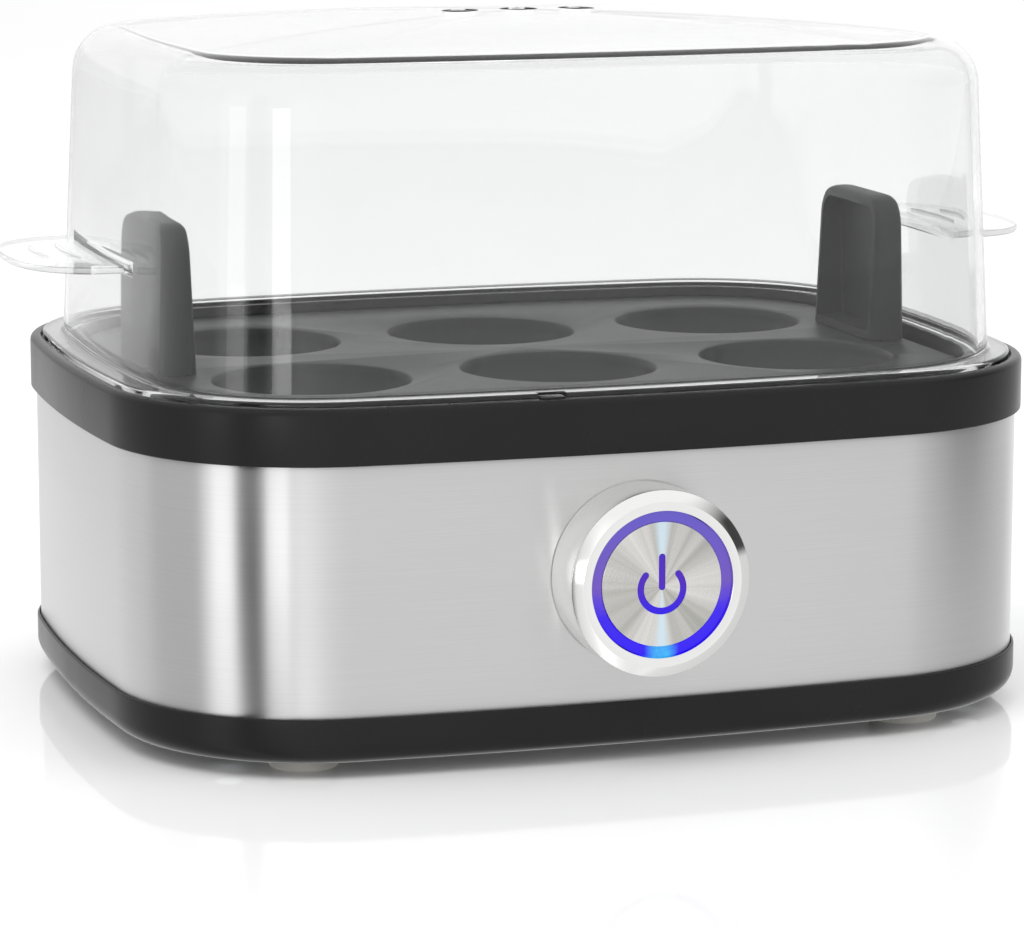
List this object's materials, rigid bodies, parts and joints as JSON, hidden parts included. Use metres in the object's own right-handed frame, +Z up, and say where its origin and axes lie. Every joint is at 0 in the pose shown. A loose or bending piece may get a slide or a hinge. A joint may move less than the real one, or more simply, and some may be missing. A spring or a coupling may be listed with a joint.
{
  "type": "egg boiler",
  "caption": "Electric egg boiler: rounded rectangular base with a brushed steel band, lit push button, lift-out egg tray with upright handles and a clear lid with side grips.",
  "frame": {"origin": "centre of the bounding box's bottom, on the surface the feet stand on", "axes": "+X to the right seen from the front, +Y to the back, +Z up; the push button faces -Y"},
  "size_m": [0.2232, 0.1704, 0.1451],
  "materials": {
    "black_plastic": "satin to gloss moulded black plastic",
    "black_nylon": "matte black nylon",
    "brushed_sleeve": "stainless steel brushed lengthwise",
    "pale_silicone": "pale matte silicone",
    "zinc_steel": "zinc plated steel",
    "stainless_plate": "pressed stainless steel with a fine circular grain",
    "element_tube": "dull drawn aluminium tube",
    "ceramic": "matte heat-proof ceramic",
    "bezel_chrome": "bright chrome plate on the bevel, satin on the flat face",
    "white_nylon": "matte white nylon",
    "blue_light": "translucent blue light guide, lit from behind",
    "spun_disc": "steel disc with a fine circular grain",
    "spring_steel": "drawn spring wire",
    "circuit_board": "green lacquered board",
    "natural_nylon": "natural nylon",
    "brass": "turned brass",
    "red_lead": "red lead insulation",
    "blue_lead": "blue lead insulation",
    "green_lead": "green lead insulation",
    "grey_plastic": "satin dark grey moulded plastic",
    "clear_plastic": "clear moulded plastic, polished"
  },
  "bodies": {
    "base": {"bezel_nut": "white_nylon", "bracket_nut_1": "zinc_steel", "bracket_nut_2": "zinc_steel", "button_bezel": "bezel_chrome", "cord_gland": "black_nylon", "element_bracket": "zinc_steel", "foot_back_left": "pale_silicone", "foot_back_right": "pale_silicone", "foot_front_left": "pale_silicone", "foot_front_right": "pale_silicone", "gland_nut": "black_nylon", "heating_element": "element_tube", "heating_plate": "stainless_plate", "housing_screw_back_left": "zinc_steel", "housing_screw_back_right": "zinc_steel", "housing_screw_front_left": "zinc_steel", "housing_screw_front_right": "zinc_steel", "lamp_board": "circuit_board", "lead_earth": "green_lead", "lead_fuse": "blue_lead", "lead_heater": "red_lead", "lead_live": "red_lead", "lead_neutral": "blue_lead", "lead_switched": "red_lead", "lower_housing": "black_plastic", "plate_seal": "pale_silicone", "rim_housing": "black_plastic", "steel_sleeve": "brushed_sleeve", "switch_housing": "black_nylon", "terminal_block": "natural_nylon", "terminal_screw_1": "brass", "terminal_screw_2": "brass", "terminal_screw_3": "brass", "terminal_screw_4": "brass", "terminal_screw_5": "brass", "terminal_screw_6": "brass", "thermal_fuse": "ceramic", "thermostat": "ceramic", "thermostat_screw_1": "zinc_steel", "thermostat_screw_2": "zinc_steel"},
    "button": {"button_plunger": "white_nylon", "light_ring": "blue_light", "button_disc": "spun_disc", "power_symbol": "blue_light", "button_spring": "spring_steel"},
    "tray": {"egg_tray": "grey_plastic", "tray_handle_left": "grey_plastic", "tray_handle_right": "grey_plastic"},
    "lid": {"lid": "clear_plastic"}
  },
  "joints": [
    {"name": "button_press", "type": "slide", "parent": "base", "child": "button", "axis": [0, 1, 0], "range_m": [0, 0.0025], "stiffness_N_per_m": 800},
    {"name": "tray_lift", "type": "slide", "parent": "base", "child": "tray", "axis": [0, 0, 1], "range_m": [0, 0.12]},
    {"name": "lid_lift", "type": "slide", "parent": "tray", "child": "lid", "axis": [0, 0, 1], "range_m": [0, 0.15]}
  ]
}
